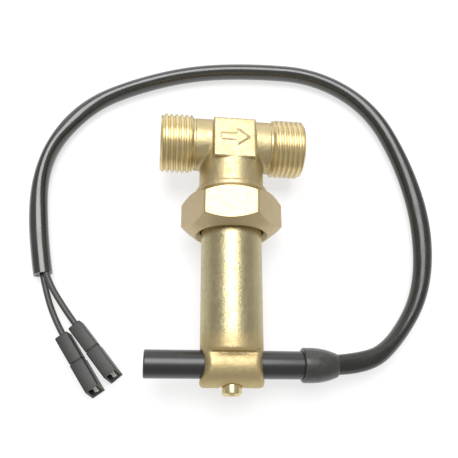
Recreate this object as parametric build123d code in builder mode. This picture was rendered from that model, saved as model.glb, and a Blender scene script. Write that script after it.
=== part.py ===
from build123d import *
import os
from math import cos, pi, radians, sin, sqrt, tan

os.makedirs("parts", exist_ok=True)

# Flow switch, in millimetres, lying on one flat of its union nut as it would on a bench.
# z = 0 is the bench. The spindle (the axis of the nut, the tube and the moving shutter) runs along Y,
# half a nut above the bench. Y = 0 is the middle of the nut, the tee is towards +Y and the sensor towards -Y.
# The pipe run of the tee and the sensor rod lie side by side across the spindle. Both are turned a few
# degrees about it, because the nut happened to stop there when it was tightened.

# Union nut, a hexagon
nut_wall = 2.7
nut_height = 15.0
nut_corner_r = 1.0
nut_bevel_angle = 38.0
nut_face_ring = 0.25
nut_mouth_ring = 0.5
nut_mouth_depth = 1.3
nut_lip = 3.0
run_turn = 7.0

# Union: threaded spigot of the tee, seal and flange of the tube
spigot_r = 12.6
spigot_show = 1.7
thread_play = 0.05
seal_thickness = 1.5
flange_thickness = 2.5
flange_play = 0.35

# Pipe run of the tee: both ends carry a G 1/2 male thread
pipe_thread_r = 20.955 / 2
pipe_thread_length = 11.75
pipe_thread_chamfer = 0.8
run_neck_length = 1.45
run_y = 27.2
relief_width = 1.1
relief_r = 9.0
run_neck_r = 9.44
run_bore_r = 7.3
run_mouth_chamfer = 0.6
inlet_end = 4.4
outlet_end = 6.4

# Forged pad on the front and back of the tee, with a plain flow arrow
pad_side_inset = 4.0
pad_low = 17.8
pad_high = 32.8
pad_face = 11.55
pad_corner_r = 0.6
arrow_length = 10.0
arrow_head = 4.4
arrow_head_width = 6.4
arrow_shaft_width = 2.4
arrow_height = 0.35
arrow_draft = 20.0

# Neck of the tee and the chamber in it
neck_step = 1.2
neck_fillet_margin = 0.25
spigot_wall = 3.1
chamber_top = 16.3
passage_width = 7.6
passage_wall = 1.5
passage_side_inset = 0.3
passage_height = 5.0
passage_overrun = 1.0

# Seat ring, pressed into the wall between inlet and chamber
seat_outer_r = 5.4
seat_inner_r = 4.0
seat_lip = 1.0
seat_ring_height = 4.4
seat_chamfer = 0.4

# Tube with its closed end and the clamp eye for the sensor rod
tube_ledge = 1.8
tube_draft = 0.14
tube_hole_play = 0.5
tube_wall = 1.9
tube_end_wall = 3.5
tube_bore_chamfer = 1.5
tube_shoulder = -47.0
guide_step = 0.6
guide_depth = 10.0
eye_drop = 3.65
eye_wall = 2.75
eye_side_inset = 0.1
eye_corner_r = 1.2
tube_edge_r = 0.6
spot_face_play = 0.45
spot_face_depth = 1.15

# Guide bush and the snap ring that holds it
guide_thickness = 3.0
guide_hub_r = 2.9
guide_hub_height = 2.2
guide_hole_r = 1.5
guide_hole_circle_r = 6.0
guide_holes = 6
ring_thickness = 0.8
ring_width = 1.0
ring_gap = 5.0

# Shutter: disc with its seal, stem, and the magnet carrier at the stem's far end
shutter_travel = 8.0
seat_gap = 0.1
disc_r = 6.5
disc_thickness = 2.2
disc_rim_height = 1.2
disc_chamfer = 0.6
seal_height = 1.6
seal_rim = 0.7
seal_inner_r = 2.3
stem_r = 1.5
stem_play = 0.06
stem_head_r = 2.9
stem_head_height = 0.8
stem_head_edge_r = 0.45
carrier_top = -20.0
carrier_end = -34.0
carrier_play = 0.7
carrier_floor = 1.6
carrier_groove_r = 1.3
carrier_grooves = 6
magnet_r = 5.2
magnet_length = 9.6
magnet_chamfer = 0.4
spring_mean_r = 4.4
spring_wire_r = 0.4
spring_turns = 8

# Sensor rod: plastic tube that slides through the eye, with a reed switch in glass inside
rod_r = 4.5
rod_play = 0.05
rod_left = -28.2
rod_right = 27.0
rod_wall = 1.6
rod_end_wall = 3.0
rod_edge_r = 0.6
plug_length = 6.0
glass_half = 8.0
glass_r = 1.9
glass_wall = 0.4
glass_end = 1.2
glass_edge_r = 0.7
blade_width = 1.3
blade_thickness = 0.25
blade_gap = 0.35
blade_overlap = 1.6
blade_hinge = 6.4
lead_r = 0.35
lead_play = 0.1

# Clamp screw under the eye
screw_r = 2.0
screw_play = 0.05
screw_head_r = 3.25
screw_head_height = 3.65
screw_chamfer = 0.9
screw_slot_width = 1.0
screw_slot_depth = 1.1

# Rubber boot where the cable leaves the rod
boot_start = 23.1
boot_end = 34.9
boot_rim_wall = 1.15
boot_tail_wall = 0.55
boot_rim_length = 2.8
boot_edge_r = 0.6

# Cable, its two wires and their one-pole connectors
cable_r = 3.2
cable_end_bore_r = 2.5
cable_end_depth = 10.0
cable_straight_end = 44.5
wire_r = 1.1
wire_offset = 1.2
wire_mouth_offset = 0.7
wire_mouth_rise = 0.95
wire_lead_in = 7.0
wire_inside = 3.0
connector_length = 22.4
connector_width = 4.5
connector_height = 7.4
connector_rear_width = 4.3
connector_rear_height = 6.4
connector_rear_length = 10.6
connector_wall = 0.75
connector_mouth_depth = 10.0
connector_edge_r = 0.6
terminal_sheet = 0.4
terminal_setback = 1.4
terminal_play = 0.1

# Values that follow from the sizes above
nut_bore_r = spigot_r + thread_play
spindle_z = nut_bore_r + nut_wall
nut_face_r = nut_bore_r + nut_face_ring
nut_mouth_r = nut_face_r - nut_mouth_ring
nut_bottom = -nut_height / 2
nut_top = nut_height / 2
spigot_top = nut_top + spigot_show
lip_top = nut_bottom + nut_lip
flange_top = lip_top + flange_thickness
spigot_end = flange_top + seal_thickness
flange_r = nut_bore_r - flange_play
tube_r = flange_r - tube_ledge
tube_end_r = tube_r - tube_draft
tube_bore_r = tube_r - tube_wall
tube_bore_end = tube_shoulder + tube_end_wall
guide_bore_r = tube_bore_r + guide_step
carrier_r = tube_bore_r - carrier_play
nut_hole_r = tube_r + tube_hole_play
nut_bevel_slope = tan(radians(nut_bevel_angle))
nut_corner_reach = 2 * spindle_z / sqrt(3)
neck_r = spigot_r - neck_step
neck_fillet_r = run_neck_length - neck_fillet_margin
run_half = neck_r + run_neck_length + relief_width + pipe_thread_length
pad_width = 2 * (neck_r - pad_side_inset)
chamber_r = spigot_r - spigot_wall
passage_inner = seat_outer_r + passage_wall
passage_outer = chamber_r - passage_side_inset
seat_face = chamber_top - seat_lip
shutter_top = seat_face - seat_gap
seal_outer_r = disc_r - seal_rim
disc_seal_floor = shutter_top - seal_height
disc_bottom = disc_seal_floor - disc_thickness
guide_seat = flange_top - guide_depth
guide_top = guide_seat + guide_thickness
ring_top = guide_top + ring_thickness
magnet_end = carrier_end + carrier_floor
magnet_top = magnet_end + magnet_length
stem_end = magnet_top
rod_hole_r = rod_r + rod_play
rod_bore_r = rod_r - rod_wall
glass_bore_r = glass_r - glass_wall
eye_y = tube_shoulder - eye_drop
eye_r = rod_hole_r + eye_wall
eye_side_r = tube_r - eye_side_inset
spot_face_r = screw_head_r + spot_face_play
spot_face_y = eye_y - eye_r + spot_face_depth
screw_hole_r = screw_r + screw_play
screw_head_top = spot_face_y - screw_play
screw_end = screw_head_top - screw_head_height
boot_rim_r = rod_r + boot_rim_wall
boot_tail_r = cable_r + boot_tail_wall
screw_tip = eye_y - rod_r - screw_play
rod_cavity_end = rod_right - plug_length

run_dir = Vector(cos(radians(run_turn)), 0, -sin(radians(run_turn)))
run_up = Vector(sin(radians(run_turn)), 0, cos(radians(run_turn)))
spindle = Axis((0, 0, spindle_z), (0, 1, 0))
half = Plane(origin=(0, 0, spindle_z), x_dir=(1, 0, 0), z_dir=(0, 0, 1))
run_half_plane = Plane(origin=(0, run_y, spindle_z), x_dir=run_dir, z_dir=run_up)
run_axis = Axis((0, run_y, spindle_z), run_dir)
rod_half_plane = Plane(origin=(0, eye_y, spindle_z), x_dir=run_dir, z_dir=run_up)
rod_axis = Axis((0, eye_y, spindle_z), run_dir)
pad_plane = Plane(origin=(0, (pad_low + pad_high) / 2, spindle_z), x_dir=run_dir, z_dir=run_up)


def across(y):
    """Plane square to the spindle at height y, with its own X along the pipe run and normal towards +Y."""
    return Plane(origin=(0, y, spindle_z), x_dir=run_dir, z_dir=(0, 1, 0))


def rod_point(distance):
    """Point on the sensor rod's axis, at a distance from the spindle."""
    return Vector(0, eye_y, spindle_z) + run_dir * distance


def section_at(distance, plane_of):
    """Plane square to the pipe run or the rod, at a distance from the spindle, normal along the run."""
    return Plane(origin=plane_of.origin + run_dir * distance, x_dir=(0, 1, 0), z_dir=run_dir)


def is_pad_face(face):
    """True for the flat front and back faces of the pads."""
    height = abs((face.center() - spindle.position).dot(run_up))
    return abs(height - pad_face) < 0.01


def is_saddle(edge):
    """True for the two curved edges where the neck of the tee meets the pipe run."""
    middle = edge @ 0.5
    return edge.geom_type not in (GeomType.LINE, GeomType.CIRCLE) and spigot_top < middle.Y < run_y


def save(part, name):
    part.label = name
    export_step(part, f"parts/{name}.step")


# Tee body: a forging with the straight pipe run, the neck down to the union and the pads
with BuildPart() as tee_body:
    with BuildSketch(run_half_plane):
        with BuildLine():
            thread_start = run_half - pipe_thread_length
            relief_start = thread_start - relief_width
            thread_edge = run_half - pipe_thread_chamfer
            end_r = pipe_thread_r - pipe_thread_chamfer
            Polyline(
                (-run_half, 0),
                (-run_half, end_r),
                (-thread_edge, pipe_thread_r),
                (-thread_start, pipe_thread_r),
                (-thread_start, relief_r),
                (-relief_start, relief_r),
                (-relief_start, run_neck_r),
                (relief_start, run_neck_r),
                (relief_start, relief_r),
                (thread_start, relief_r),
                (thread_start, pipe_thread_r),
                (thread_edge, pipe_thread_r),
                (run_half, end_r),
                (run_half, 0),
                close=True,
            )
        make_face()
    revolve(axis=run_axis)
    with BuildSketch(across(spigot_top)):
        Circle(neck_r)
    extrude(amount=run_y - spigot_top)
    with BuildSketch(pad_plane):
        Rectangle(pad_width, pad_high - pad_low)
    extrude(amount=pad_face, both=True)
    fillet(tee_body.edges().filter_by(is_saddle), neck_fillet_r)
    pad_faces = tee_body.faces().filter_by(is_pad_face)
    fillet(pad_faces.edges(), pad_corner_r)
    with BuildSketch(across(spigot_end)):
        Circle(spigot_r)
    extrude(amount=spigot_top - spigot_end)
    with BuildSketch(across(spigot_end)):
        Circle(chamber_r)
    extrude(amount=chamber_top - spigot_end, mode=Mode.SUBTRACT)
    with BuildSketch(run_half_plane):
        with BuildLine():
            mouth_r = run_bore_r + run_mouth_chamfer
            Polyline(
                (-run_half, 0),
                (-run_half, mouth_r),
                (-run_half + run_mouth_chamfer, run_bore_r),
                (inlet_end, run_bore_r),
                (inlet_end, 0),
                close=True,
            )
        make_face()
        with BuildLine():
            Polyline(
                (run_half, 0),
                (run_half, mouth_r),
                (run_half - run_mouth_chamfer, run_bore_r),
                (outlet_end, run_bore_r),
                (outlet_end, 0),
                close=True,
            )
        make_face()
    revolve(axis=run_axis, mode=Mode.SUBTRACT)
    with BuildSketch(across(seat_face)):
        Circle(seat_outer_r)
    extrude(amount=seat_ring_height, mode=Mode.SUBTRACT)
    with BuildSketch(across(chamber_top - passage_overrun)):
        with Locations(((passage_inner + passage_outer) / 2, 0)):
            Rectangle(passage_outer - passage_inner, passage_width)
    extrude(amount=passage_overrun + passage_height, mode=Mode.SUBTRACT)
    with BuildSketch(pad_plane.offset(pad_face)):
        with BuildLine():
            tip = arrow_length / 2
            Polyline(
                (-tip, -arrow_shaft_width / 2),
                (tip - arrow_head, -arrow_shaft_width / 2),
                (tip - arrow_head, -arrow_head_width / 2),
                (tip, 0),
                (tip - arrow_head, arrow_head_width / 2),
                (tip - arrow_head, arrow_shaft_width / 2),
                (-tip, arrow_shaft_width / 2),
                close=True,
            )
        make_face()
    extrude(amount=arrow_height, taper=arrow_draft)
save(tee_body.part, "tee_body")

# Seat ring: the shutter's seal closes on its lower lip
with BuildPart() as valve_seat:
    with BuildSketch(across(seat_face)):
        Circle(seat_outer_r)
        Circle(seat_inner_r, mode=Mode.SUBTRACT)
    extrude(amount=seat_ring_height)
    lip_edges = valve_seat.edges().filter_by(GeomType.CIRCLE).group_by(Axis.Y)[0]
    chamfer(lip_edges.sort_by(SortBy.RADIUS)[-1], seat_chamfer)
save(valve_seat.part, "valve_seat")

# Union nut: hexagon with bevelled ends, a lip that pulls the tube's flange up and a threaded bore
with BuildPart() as union_nut:
    with BuildSketch(Plane(origin=(0, nut_bottom, spindle_z), x_dir=(1, 0, 0), z_dir=(0, 1, 0))):
        RegularPolygon(spindle_z, 6, major_radius=False)
    extrude(amount=nut_height)
    fillet(union_nut.edges().filter_by(Axis.Y), nut_corner_r)
    with BuildSketch(half):
        with BuildLine():
            corner_bevel_y = nut_top - (nut_corner_reach - nut_face_r) * nut_bevel_slope
            Polyline(
                (0, nut_bottom),
                (nut_face_r, nut_bottom),
                (nut_corner_reach, -corner_bevel_y),
                (nut_corner_reach, corner_bevel_y),
                (nut_face_r, nut_top),
                (0, nut_top),
                close=True,
            )
        make_face()
    revolve(axis=spindle, mode=Mode.INTERSECT)
    with BuildSketch(half):
        with BuildLine():
            Polyline(
                (0, nut_bottom),
                (nut_mouth_r, nut_bottom),
                (nut_hole_r, nut_bottom + nut_mouth_depth),
                (nut_hole_r, lip_top),
                (nut_bore_r, lip_top),
                (nut_bore_r, nut_top),
                (0, nut_top),
                close=True,
            )
        make_face()
    revolve(axis=spindle, mode=Mode.SUBTRACT)
save(union_nut.part, "union_nut")

# Flat seal between the spigot and the tube's flange
with BuildPart() as union_gasket:
    with BuildSketch(across(flange_top)):
        Circle(flange_r)
        Circle(chamber_r, mode=Mode.SUBTRACT)
    extrude(amount=seal_thickness)
save(union_gasket.part, "union_gasket")

# Clamp eye: a lying round bar across the tube, cut to the tube's own width
with BuildPart() as eye:
    with BuildSketch(section_at(-2 * eye_side_r, rod_half_plane)):
        Circle(eye_r)
    extrude(amount=4 * eye_side_r)
    with BuildSketch(across(eye_y - 2 * eye_r)):
        Circle(eye_side_r)
    extrude(amount=4 * eye_r, mode=Mode.INTERSECT)
    fillet(eye.edges(), eye_corner_r)

# Lower housing: flanged tube with a closed end and the clamp eye
with BuildPart() as lower_housing:
    with BuildSketch(half) as lower_profile:
        with BuildLine():
            Polyline(
                (0, flange_top),
                (flange_r, flange_top),
                (flange_r, lip_top),
                (tube_r, lip_top),
                (tube_end_r, tube_shoulder),
                (0, tube_shoulder),
                close=True,
            )
        make_face()
        end_corners = lower_profile.vertices().group_by(Axis.Y)[0]
        fillet(end_corners.sort_by(Axis.X)[-1], tube_edge_r)
    revolve(axis=spindle)
    add(eye.part)
    with BuildSketch(half):
        with BuildLine():
            Polyline(
                (0, flange_top),
                (guide_bore_r, flange_top),
                (guide_bore_r, guide_seat),
                (tube_bore_r, guide_seat),
                (tube_bore_r, tube_bore_end + tube_bore_chamfer),
                (tube_bore_r - tube_bore_chamfer, tube_bore_end),
                (0, tube_bore_end),
                close=True,
            )
        make_face()
    revolve(axis=spindle, mode=Mode.SUBTRACT)
    with BuildSketch(section_at(-2 * eye_side_r, rod_half_plane)):
        Circle(rod_hole_r)
    extrude(amount=4 * eye_side_r, mode=Mode.SUBTRACT)
    with BuildSketch(across(eye_y)):
        Circle(screw_hole_r)
    extrude(amount=-2 * eye_r, mode=Mode.SUBTRACT)
    with BuildSketch(across(spot_face_y)):
        Circle(spot_face_r)
    extrude(amount=-eye_r, mode=Mode.SUBTRACT)
save(lower_housing.part, "lower_housing")

# Guide bush: a spider that carries the stem and lets the water through
with BuildPart() as guide_bush:
    with BuildSketch(across(guide_seat)):
        Circle(guide_bore_r)
        with PolarLocations(guide_hole_circle_r, guide_holes):
            Circle(guide_hole_r, mode=Mode.SUBTRACT)
    extrude(amount=guide_thickness)
    with BuildSketch(across(guide_top)):
        Circle(guide_hub_r)
    extrude(amount=guide_hub_height)
    with BuildSketch(across(guide_seat)):
        Circle(stem_r + stem_play)
    extrude(amount=guide_thickness + guide_hub_height, mode=Mode.SUBTRACT)
save(guide_bush.part, "guide_bush")

# Open snap ring above the bush
with BuildPart() as guide_ring:
    with BuildSketch(across(guide_top)):
        Circle(guide_bore_r)
        Circle(guide_bore_r - ring_width, mode=Mode.SUBTRACT)
        with Locations((guide_bore_r, 0)):
            Rectangle(4 * ring_width, ring_gap, mode=Mode.SUBTRACT)
    extrude(amount=ring_thickness)
save(guide_ring.part, "guide_ring")

# Shutter disc: cup for the seal, with a boss in the middle
with BuildPart() as shutter_disc:
    with BuildSketch(half):
        with BuildLine():
            rim_top = disc_seal_floor + disc_rim_height
            boss_top = shutter_top
            Polyline(
                (stem_r, disc_bottom),
                (disc_r - disc_chamfer, disc_bottom),
                (disc_r, disc_bottom + disc_chamfer),
                (disc_r, rim_top),
                (seal_outer_r, rim_top),
                (seal_outer_r, disc_seal_floor),
                (seal_inner_r, disc_seal_floor),
                (seal_inner_r, boss_top),
                (stem_r, boss_top),
                close=True,
            )
        make_face()
    revolve(axis=spindle)
save(shutter_disc.part, "shutter_disc")

with BuildPart() as shutter_seal:
    with BuildSketch(across(disc_seal_floor)):
        Circle(seal_outer_r)
        Circle(seal_inner_r, mode=Mode.SUBTRACT)
    extrude(amount=seal_height)
save(shutter_seal.part, "shutter_seal")

# Stem: riveted over the disc's boss, pressed into the magnet cap below
with BuildPart() as shutter_stem:
    with BuildSketch(across(stem_end)):
        Circle(stem_r)
    extrude(amount=shutter_top - stem_end)
    with BuildSketch(across(shutter_top)):
        Circle(stem_head_r)
    extrude(amount=stem_head_height)
    head_rim = shutter_stem.edges().filter_by(GeomType.CIRCLE).group_by(Axis.Y)[-1]
    fillet(head_rim, stem_head_edge_r)
save(shutter_stem.part, "shutter_stem")

# Magnet carrier: fluted cup that runs in the tube with the magnet in it
with BuildPart() as magnet_carrier:
    with BuildSketch(across(carrier_end)):
        Circle(carrier_r)
        with PolarLocations(carrier_r, carrier_grooves):
            Circle(carrier_groove_r, mode=Mode.SUBTRACT)
    extrude(amount=carrier_top - carrier_end)
    with BuildSketch(across(magnet_end)):
        Circle(magnet_r)
    extrude(amount=carrier_top - magnet_end, mode=Mode.SUBTRACT)
save(magnet_carrier.part, "magnet_carrier")

with BuildPart() as magnet:
    with BuildSketch(across(magnet_end)):
        Circle(magnet_r)
    extrude(amount=magnet_length)
    chamfer(magnet.edges().filter_by(GeomType.CIRCLE), magnet_chamfer)
save(magnet.part, "magnet")

with BuildPart() as magnet_cap:
    with BuildSketch(across(magnet_top)):
        Circle(magnet_r)
        Circle(stem_r, mode=Mode.SUBTRACT)
    extrude(amount=carrier_top - magnet_top)
save(magnet_cap.part, "magnet_cap")

# Return spring: stands on the bush around its hub and pushes the disc onto the seat
with BuildPart() as return_spring:
    spring_low = guide_top + spring_wire_r
    spring_high = disc_bottom - spring_wire_r
    spring_pitch = (spring_high - spring_low) / spring_turns
    with BuildLine():
        coil = Helix(
            spring_pitch,
            spring_high - spring_low,
            spring_mean_r,
            center=(0, spring_low, spindle_z),
            direction=(0, 1, 0),
        )
    with BuildSketch(Plane(origin=coil @ 0, z_dir=coil % 0)):
        RegularPolygon(spring_wire_r, 6)
    sweep(path=coil, is_frenet=True)
save(return_spring.part, "return_spring")

# Clamp screw: slotted cheese head under the eye, its tip on the rod
with BuildPart() as clamp_screw:
    with BuildSketch(across(screw_end)):
        Circle(screw_head_r)
    extrude(amount=screw_head_top - screw_end)
    chamfer(clamp_screw.edges().filter_by(GeomType.CIRCLE).group_by(Axis.Y)[0], screw_chamfer)
    with BuildSketch(across(screw_head_top)):
        Circle(screw_r)
    extrude(amount=screw_tip - screw_head_top)
    with BuildSketch(across(screw_end)):
        Rectangle(3 * screw_head_r, screw_slot_width)
    extrude(amount=screw_slot_depth, mode=Mode.SUBTRACT)
save(clamp_screw.part, "clamp_screw")

# Sensor rod housing: tube closed at its left end
with BuildPart() as sensor_housing:
    with BuildSketch(section_at(rod_left, rod_half_plane)):
        Circle(rod_r)
    extrude(amount=rod_right - rod_left)
    closed_edge = sensor_housing.edges().filter_by(GeomType.CIRCLE).group_by(Axis.X)[0]
    fillet(closed_edge, rod_edge_r)
    with BuildSketch(section_at(rod_left + rod_end_wall, rod_half_plane)):
        Circle(rod_bore_r)
    extrude(amount=rod_right - rod_left - rod_end_wall, mode=Mode.SUBTRACT)
save(sensor_housing.part, "sensor_housing")

# Resin plug that closes the rod around the two leads
with BuildPart() as sensor_plug:
    with BuildSketch(section_at(rod_cavity_end, rod_half_plane)):
        Circle(rod_bore_r)
        for side in (-1, 1):
            with Locations((side * wire_offset, 0)):
                Circle(lead_r, mode=Mode.SUBTRACT)
    extrude(amount=plug_length)
save(sensor_plug.part, "sensor_plug")

# Reed capsule: glass tube sealed at both ends
with BuildPart() as reed_glass:
    with BuildSketch(section_at(-glass_half, rod_half_plane)):
        Circle(glass_r)
    extrude(amount=2 * glass_half)
    fillet(reed_glass.edges().filter_by(GeomType.CIRCLE), glass_edge_r)
    with BuildSketch(section_at(-glass_half + glass_end, rod_half_plane)):
        Circle(glass_bore_r)
    extrude(amount=2 * (glass_half - glass_end), mode=Mode.SUBTRACT)
    with BuildSketch(section_at(-glass_half, rod_half_plane)):
        Circle(lead_r)
    extrude(amount=2 * glass_half, mode=Mode.SUBTRACT)
save(reed_glass.part, "reed_glass")

# Fixed blade of the reed switch; its lead leaves the glass on the left and comes back beside it
with BuildPart() as reed_lead_fixed:
    blade_low = -blade_gap / 2 - blade_thickness
    with BuildSketch(rod_half_plane.offset(blade_low)):
        with Locations(((blade_overlap / 2 - glass_half + glass_end) / 2, 0)):
            Rectangle(blade_overlap / 2 + glass_half - glass_end, blade_width)
    extrude(amount=blade_thickness)
    with BuildLine(rod_half_plane):
        turn_back = -glass_half - 2 * glass_end
        beside = glass_r + lead_r + lead_play
        return_lead = FilletPolyline(
            (-glass_half + glass_end + 2 * lead_r, 0),
            (turn_back, 0),
            (turn_back, beside),
            (rod_cavity_end - 2 * beside, beside),
            (rod_cavity_end - beside, wire_offset),
            (rod_right, wire_offset),
            radius=2 * lead_r,
        )
    with BuildSketch(Plane(origin=return_lead @ 0, z_dir=return_lead % 0)):
        Circle(lead_r)
    sweep(path=return_lead)
save(reed_lead_fixed.part, "reed_lead_fixed")

# Outer lead of the moving blade
with BuildPart() as reed_lead_out:
    with BuildLine(rod_half_plane):
        out_lead = FilletPolyline(
            (blade_hinge + lead_play, 0),
            (rod_cavity_end - 2 * beside, 0),
            (rod_cavity_end - beside, -wire_offset),
            (rod_right, -wire_offset),
            radius=2 * lead_r,
        )
    with BuildSketch(Plane(origin=out_lead @ 0, z_dir=out_lead % 0)):
        Circle(lead_r)
    sweep(path=out_lead)
save(reed_lead_out.part, "reed_lead_out")

# Moving blade: bends at the glass seal until its tip meets the fixed blade
with BuildPart() as reed_blade:
    with BuildSketch(rod_half_plane.offset(blade_gap / 2)):
        with Locations(((blade_hinge - blade_overlap / 2) / 2, 0)):
            Rectangle(blade_hinge + blade_overlap / 2, blade_width)
    extrude(amount=blade_thickness)
save(reed_blade.part, "reed_blade")

# Rubber boot: bell over the rod's end, tapering down to the cable
with BuildPart() as sensor_boot:
    with BuildSketch(rod_half_plane):
        with BuildLine():
            rim_end = (boot_start + boot_rim_length, boot_rim_r)
            tail = (boot_end, boot_tail_r)
            Polyline(
                tail,
                (boot_end, cable_r),
                (rod_right, cable_r),
                (rod_right, rod_r),
                (boot_start, rod_r),
                (boot_start, boot_rim_r),
                rim_end,
            )
            TangentArc(rim_end, tail, tangent=(1, 0))
        make_face()
    revolve(axis=rod_axis)
    rim_edge = sensor_boot.edges().filter_by(GeomType.CIRCLE).group_by(Axis.X)[0]
    fillet(rim_edge.sort_by(SortBy.RADIUS)[-1], boot_edge_r)
save(sensor_boot.part, "sensor_boot")


def corner_radii(points):
    """Largest arc that fits each corner of a cord: 0.45 of the shorter run over tan of half the turn."""
    radii = []
    for before, corner, after in zip(points, points[1:], points[2:]):
        run_in = corner - before
        run_out = after - corner
        shorter = min(run_in.length, run_out.length)
        radii.append(0.45 * shorter / tan(radians(run_in.get_angle(run_out) / 2)))
    return radii


def report_cord(name, part, radii, section, path):
    expected = section * path.length
    print(name, "length", round(path.length, 1), "radii", [round(r, 1) for r in radii],
          "volume over section x length", round(part.volume / expected, 4))


# Route of the cable, chosen by hand: out of the boot, down to the bench and once around the switch
cable_points = [
    rod_point(rod_right),
    rod_point(cable_straight_end),
    Vector(57.2, -41.9, cable_r),
    Vector(68.6, -24.0, cable_r),
    Vector(71.6, 0.9, cable_r),
    Vector(66.5, 26.6, cable_r),
    Vector(56.0, 50.6, cable_r),
    Vector(34.9, 65.3, cable_r),
    Vector(10.3, 67.7, cable_r),
    Vector(-14.0, 67.0, cable_r),
    Vector(-36.7, 61.2, cable_r),
    Vector(-58.4, 51.2, cable_r),
    Vector(-71.4, 31.0, cable_r),
    Vector(-73.4, 6.1, cable_r),
    Vector(-67.9, -17.7, cable_r),
]
cable_end = cable_points[-1]
cable_end_dir = (cable_points[-1] - cable_points[-2]).normalized()
cable_side = Vector(0, 0, 1).cross(cable_end_dir)
wire_start = cable_end - cable_end_dir * cable_end_depth
wire_lift = Vector(0, 0, wire_mouth_rise)

with BuildPart() as cable_sleeve:
    with BuildLine():
        cable_radii = corner_radii(cable_points)
        cable_path = FilletPolyline(*cable_points, radius=cable_radii)
    with BuildSketch(Plane(origin=cable_path @ 0, z_dir=cable_path % 0)):
        Circle(cable_r)
    sweep(path=cable_path)
    report_cord("cable_sleeve", cable_sleeve.part, cable_radii, pi * cable_r**2, cable_path)
    with BuildSketch(Plane(origin=cable_end, z_dir=-cable_end_dir)):
        Circle(cable_end_bore_r)
    extrude(amount=cable_end_depth, mode=Mode.SUBTRACT)
save(cable_sleeve.part, "cable_sleeve")

# Connectors stand on their narrow side; each one is placed by the middle of its rear face and its heading
connector_mid_z = connector_height / 2
rear_a = Vector(-58.3, -39.75, connector_mid_z)
heading_a = Vector(0.564, -0.826, 0).normalized()
rear_b = Vector(-54.2, -36.1, connector_mid_z)
heading_b = Vector(0.641, -0.768, 0).normalized()
wire_a_points = [
    wire_start - cable_side * wire_mouth_offset - wire_lift,
    Vector(-68.0, -19.0, 2.3),
    rear_a - heading_a * wire_lead_in,
    rear_a + heading_a * wire_inside,
]
wire_b_points = [
    wire_start + cable_side * wire_mouth_offset + wire_lift,
    Vector(-66.9, -18.2, 4.2),
    rear_b - heading_b * wire_lead_in,
    rear_b + heading_b * wire_inside,
]


def make_wire(points, name):
    with BuildPart() as wire:
        with BuildLine():
            radii = corner_radii(points)
            path = FilletPolyline(*points, radius=radii)
        with BuildSketch(Plane(origin=path @ 0, z_dir=path % 0)):
            Circle(wire_r)
        sweep(path=path)
    report_cord(name, wire.part, radii, pi * wire_r**2, path)
    save(wire.part, name)


def make_connector(rear, heading, name):
    """One-pole sleeve: a slim rear half round the wire and a wider front half round the terminal."""
    def square_to(distance):
        return Plane(origin=rear + heading * distance, x_dir=Vector(0, 0, 1).cross(heading), z_dir=heading)

    with BuildPart() as connector:
        with BuildSketch(square_to(0)):
            RectangleRounded(connector_rear_width, connector_rear_height, connector_edge_r)
        extrude(amount=connector_rear_length)
        with BuildSketch(square_to(connector_rear_length)):
            RectangleRounded(connector_width, connector_height, connector_edge_r)
        extrude(amount=connector_length - connector_rear_length)
        with BuildSketch(square_to(connector_length)):
            Rectangle(connector_width - 2 * connector_wall, connector_height - 2 * connector_wall)
        extrude(amount=-connector_mouth_depth, mode=Mode.SUBTRACT)
        with BuildSketch(square_to(0)):
            Circle(wire_r)
        extrude(amount=wire_inside, mode=Mode.SUBTRACT)
    save(connector.part, name)


def make_terminal(rear, heading, name):
    """Push-on terminal: a folded sheet, open along one side where the curled edges face each other."""
    start = rear + heading * (connector_length - connector_mouth_depth)
    section = Plane(origin=start, x_dir=Vector(0, 0, 1).cross(heading), z_dir=heading)
    width = connector_width - 2 * (connector_wall + terminal_play)
    height = connector_height - 2 * (connector_wall + terminal_play)
    with BuildPart() as terminal:
        with BuildSketch(section):
            Rectangle(width, height)
            Rectangle(width - 2 * terminal_sheet, height - 2 * terminal_sheet, mode=Mode.SUBTRACT)
            with Locations((width / 2, 0)):
                Rectangle(3 * terminal_sheet, height - 6 * terminal_sheet, mode=Mode.SUBTRACT)
        extrude(amount=connector_mouth_depth - terminal_setback)
    save(terminal.part, name)


make_wire(wire_a_points, "wire_a")
make_wire(wire_b_points, "wire_b")
make_connector(rear_a, heading_a, "connector_a")
make_connector(rear_b, heading_b, "connector_b")
make_terminal(rear_a, heading_a, "terminal_a")
make_terminal(rear_b, heading_b, "terminal_b")
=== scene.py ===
# %% [markdown]
# # A flow switch, dressed for its photograph
#
# The imported CAD model is the frame of this scene: every piece made here sits where a CAD node sits,
# and rides on that node's body, so it moves as the real one does. The first cell loads the frame.

# %% Load the frame
import bmesh
import bpy
from math import atan2, cos, pi, radians, sin, tan
from mathutils import Matrix, Quaternion, Vector


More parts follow.
